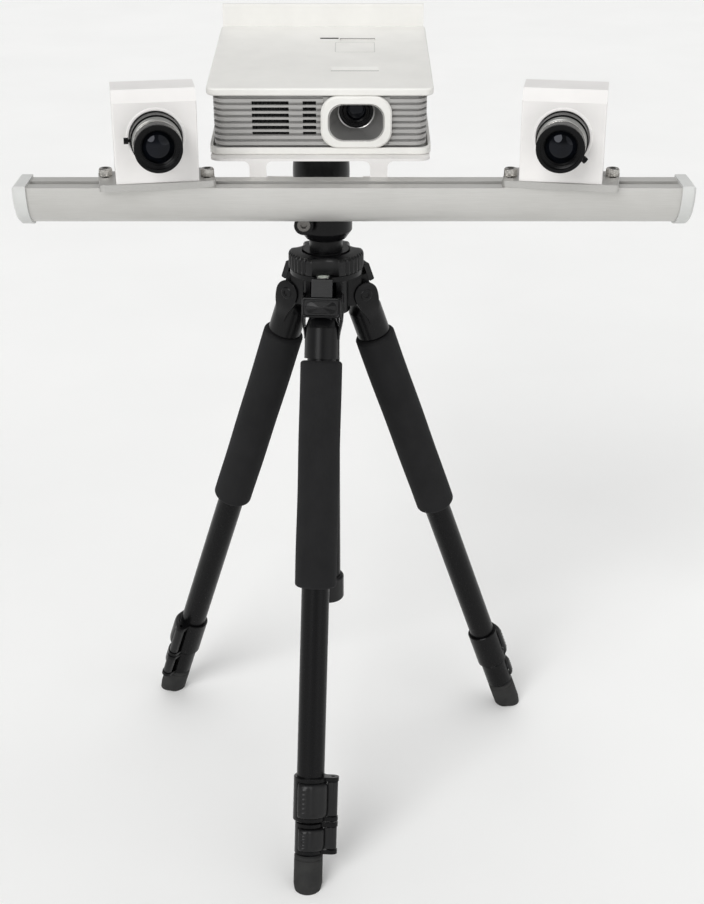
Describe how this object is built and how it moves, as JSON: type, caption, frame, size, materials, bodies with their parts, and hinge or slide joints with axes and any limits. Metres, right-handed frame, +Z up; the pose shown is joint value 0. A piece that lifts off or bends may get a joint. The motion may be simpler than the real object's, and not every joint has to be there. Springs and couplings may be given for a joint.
{
  "type": "structured light scanner on tripod",
  "caption": "Tripod-mounted structured-light 3-D scanner: a projector on a ball head, and a slotted rail that carries a toed-in camera at each end.",
  "frame": {"origin": "on the floor, under the axis of the tripod's centre column", "axes": "+Z up; the lenses look along -Y; +X to the right of someone who faces the lenses, along the rail"},
  "size_m": [0.52, 0.3428, 0.6771],
  "materials": {
    "white_plastic": "satin moulded",
    "white_paint": "semi-gloss powder coat on sheet metal",
    "louvre_grey": "satin moulded",
    "grey_plastic": "satin moulded",
    "silver_anodised": "satin anodised extrusion",
    "bare_aluminium": "brushed plate",
    "knurled_aluminium": "knurled, grey anodised",
    "stainless_steel": "polished",
    "black_steel": "black oxide",
    "black_casting": "fine black powder coat on die-cast metal",
    "black_anodised_tube": "satin black anodised",
    "black_plastic": "fine textured, glass filled",
    "lens_black": "satin black anodised",
    "foam": "closed-cell foam",
    "rubber": "matt moulded"
  },
  "bodies": {
    "spider": {"spider_casting": "black_casting", "leg_pivot_bolts": "black_steel"},
    "column": {"centre_column": "black_anodised_tube", "column_top_plate": "black_casting", "column_end_cap": "black_plastic", "head_pan_base": "black_casting"},
    "lock_collar": {"column_lock_collar": "black_plastic"},
    "head": {"head_housing": "black_casting", "head_clamp_bolt": "black_steel"},
    "head_knob": {"head_lock_knob": "black_plastic"},
    "scanner": {"head_ball": "stainless_steel", "head_platform": "black_casting", "projector_cradle": "white_paint", "cradle_screws": "stainless_steel", "rail_profile": "silver_anodised", "rail_end_caps": "grey_plastic", "projector_base_shell": "white_plastic", "projector_louvre_body": "louvre_grey", "projector_top_cover": "white_plastic", "projector_lens_bezel": "white_plastic", "projector_lens_barrel": "lens_black", "projector_light_engine": "black_plastic"},
    "projector_focus": {"projector_focus_ring": "black_plastic"},
    "left_carriage": {"left_clamp_screws": "stainless_steel"},
    "left_camera": {"left_camera_plate": "bare_aluminium", "left_camera_housing": "white_paint", "left_camera_and_lens": "lens_black"},
    "left_lens_focus": {"left_focus_ring": "knurled_aluminium"},
    "right_carriage": {"right_clamp_screws": "stainless_steel"},
    "right_camera": {"right_camera_plate": "bare_aluminium", "right_camera_housing": "white_paint", "right_camera_and_lens": "lens_black"},
    "right_lens_focus": {"right_focus_ring": "knurled_aluminium"},
    "front_leg": {"front_leg_casting": "black_casting", "front_upper_tube": "black_anodised_tube", "front_foam_grip": "foam"},
    "front_stop": {"front_angle_stop": "black_plastic"},
    "front_upper_lock": {"front_upper_lever": "black_plastic"},
    "front_middle": {"front_middle_tube": "black_anodised_tube"},
    "front_lower_lock": {"front_lower_lever": "black_plastic"},
    "front_foot": {"front_foot_tube": "black_anodised_tube", "front_rubber_foot": "rubber"},
    "right_leg": {"right_leg_casting": "black_casting", "right_upper_tube": "black_anodised_tube", "right_foam_grip": "foam"},
    "right_stop": {"right_angle_stop": "black_plastic"},
    "right_upper_lock": {"right_upper_lever": "black_plastic"},
    "right_middle": {"right_middle_tube": "black_anodised_tube"},
    "right_lower_lock": {"right_lower_lever": "black_plastic"},
    "right_foot": {"right_foot_tube": "black_anodised_tube", "right_rubber_foot": "rubber"},
    "left_leg": {"left_leg_casting": "black_casting", "left_upper_tube": "black_anodised_tube", "left_foam_grip": "foam"},
    "left_stop": {"left_angle_stop": "black_plastic"},
    "left_upper_lock": {"left_upper_lever": "black_plastic"},
    "left_middle": {"left_middle_tube": "black_anodised_tube"},
    "left_lower_lock": {"left_lower_lever": "black_plastic"},
    "left_foot": {"left_foot_tube": "black_anodised_tube", "left_rubber_foot": "rubber"}
  },
  "joints": [
    {"name": "column_rise", "type": "slide", "parent": "spider", "child": "column", "axis": [0, 0, 1], "range_m": [0, 0.24]},
    {"name": "collar_twist", "type": "hinge", "parent": "spider", "child": "lock_collar", "pos_m": [0, 0, 0.4923], "axis": [0, 0, 1], "range_deg": [0, 90]},
    {"name": "head_pan", "type": "hinge", "parent": "column", "child": "head", "pos_m": [0, 0, 0.512], "axis": [0, 0, 1], "continuous": true},
    {"name": "head_tilt", "type": "hinge", "parent": "head", "child": "scanner", "pos_m": [0, 0, 0.543], "axis": [1, 0, 0], "range_deg": [-18, 18]},
    {"name": "head_lock_turn", "type": "hinge", "parent": "head", "child": "head_knob", "pos_m": [0, 0.033, 0.531], "axis": [0, 1, 0], "range_deg": [0, 270]},
    {"name": "projector_focus_turn", "type": "hinge", "parent": "scanner", "child": "projector_focus", "pos_m": [0.0248, -0.02332, 0.62041], "axis": [0, -0.9959, -0.0906], "range_deg": [-18, 18]},
    {"name": "left_camera_slide", "type": "slide", "parent": "scanner", "child": "left_carriage", "axis": [1, 0, 0], "range_m": [-0.05, 0]},
    {"name": "left_camera_toe_in", "type": "hinge", "parent": "left_carriage", "child": "left_camera", "pos_m": [-0.1282, -0.0705, 0.575], "axis": [0, 0, 1], "range_deg": [-4.5, 3]},
    {"name": "left_lens_focus_turn", "type": "hinge", "parent": "left_camera", "child": "left_lens_focus", "pos_m": [-0.12196, -0.10778, 0.615], "axis": [0.165, -0.9863, 0], "range_deg": [-135, 135]},
    {"name": "right_camera_slide", "type": "slide", "parent": "scanner", "child": "right_carriage", "axis": [1, 0, 0], "range_m": [-0.07, 0.035]},
    {"name": "right_camera_toe_in", "type": "hinge", "parent": "right_carriage", "child": "right_camera", "pos_m": [0.182, -0.0705, 0.575], "axis": [0, 0, 1], "range_deg": [-3, 4.5]},
    {"name": "right_lens_focus_turn", "type": "hinge", "parent": "right_camera", "child": "right_lens_focus", "pos_m": [0.17576, -0.10778, 0.615], "axis": [-0.165, -0.9863, 0], "range_deg": [-135, 135]},
    {"name": "front_leg_fold", "type": "hinge", "parent": "spider", "child": "front_leg", "pos_m": [-0.0024, -0.0294, 0.4602], "axis": [0.9967, -0.0812, 0], "range_deg": [0, 16]},
    {"name": "front_stop_pull", "type": "slide", "parent": "front_leg", "child": "front_stop", "axis": [-0.0764, -0.9368, 0.3415], "range_m": [0, 0.006]},
    {"name": "front_upper_lock_open", "type": "hinge", "parent": "front_leg", "child": "front_upper_lock", "pos_m": [0.0051, -0.17128, 0.07274], "axis": [0.0277, 0.3404, 0.9399], "range_deg": [0, 110]},
    {"name": "front_middle_slide", "type": "slide", "parent": "front_leg", "child": "front_middle", "axis": [-0.0277, -0.3404, -0.9399], "range_m": [0, 0.3]},
    {"name": "front_lower_lock_open", "type": "hinge", "parent": "front_middle", "child": "front_lower_lock", "pos_m": [0.00417, -0.18276, 0.04102], "axis": [0.0277, 0.3404, 0.9399], "range_deg": [0, 110]},
    {"name": "front_foot_slide", "type": "slide", "parent": "front_middle", "child": "front_foot", "axis": [-0.0277, -0.3404, -0.9399], "range_m": [0, 0.3]},
    {"name": "right_leg_fold", "type": "hinge", "parent": "spider", "child": "right_leg", "pos_m": [0.02666, 0.01263, 0.4602], "axis": [-0.428, 0.9038, 0], "range_deg": [0, 16]},
    {"name": "right_stop_pull", "type": "slide", "parent": "right_leg", "child": "right_stop", "axis": [0.8494, 0.4023, 0.3415], "range_m": [0, 0.006]},
    {"name": "right_upper_lock_open", "type": "hinge", "parent": "right_leg", "child": "right_upper_lock", "pos_m": [0.14578, 0.09006, 0.07274], "axis": [-0.3087, -0.1462, 0.9399], "range_deg": [0, 110]},
    {"name": "right_middle_slide", "type": "slide", "parent": "right_leg", "child": "right_middle", "axis": [0.3087, 0.1462, -0.9399], "range_m": [0, 0.3]},
    {"name": "right_lower_lock_open", "type": "hinge", "parent": "right_middle", "child": "right_lower_lock", "pos_m": [0.1562, 0.09499, 0.04102], "axis": [-0.3087, -0.1462, 0.9399], "range_deg": [0, 110]},
    {"name": "right_foot_slide", "type": "slide", "parent": "right_middle", "child": "right_foot", "axis": [0.3087, 0.1462, -0.9399], "range_m": [0, 0.3]},
    {"name": "left_leg_fold", "type": "hinge", "parent": "spider", "child": "left_leg", "pos_m": [-0.02426, 0.01678, 0.4602], "axis": [-0.5687, -0.8225, 0], "range_deg": [0, 16]},
    {"name": "left_stop_pull", "type": "slide", "parent": "left_leg", "child": "left_stop", "axis": [-0.7731, 0.5345, 0.3415], "range_m": [0, 0.006]},
    {"name": "left_upper_lock_open", "type": "hinge", "parent": "left_leg", "child": "left_upper_lock", "pos_m": [-0.15088, 0.08122, 0.07274], "axis": [0.2809, -0.1942, 0.9399], "range_deg": [0, 110]},
    {"name": "left_middle_slide", "type": "slide", "parent": "left_leg", "child": "left_middle", "axis": [-0.2809, 0.1942, -0.9399], "range_m": [0, 0.3]},
    {"name": "left_lower_lock_open", "type": "hinge", "parent": "left_middle", "child": "left_lower_lock", "pos_m": [-0.16036, 0.08778, 0.04102], "axis": [0.2809, -0.1942, 0.9399], "range_deg": [0, 110]},
    {"name": "left_foot_slide", "type": "slide", "parent": "left_middle", "child": "left_foot", "axis": [-0.2809, 0.1942, -0.9399], "range_m": [0, 0.3]}
  ]
}
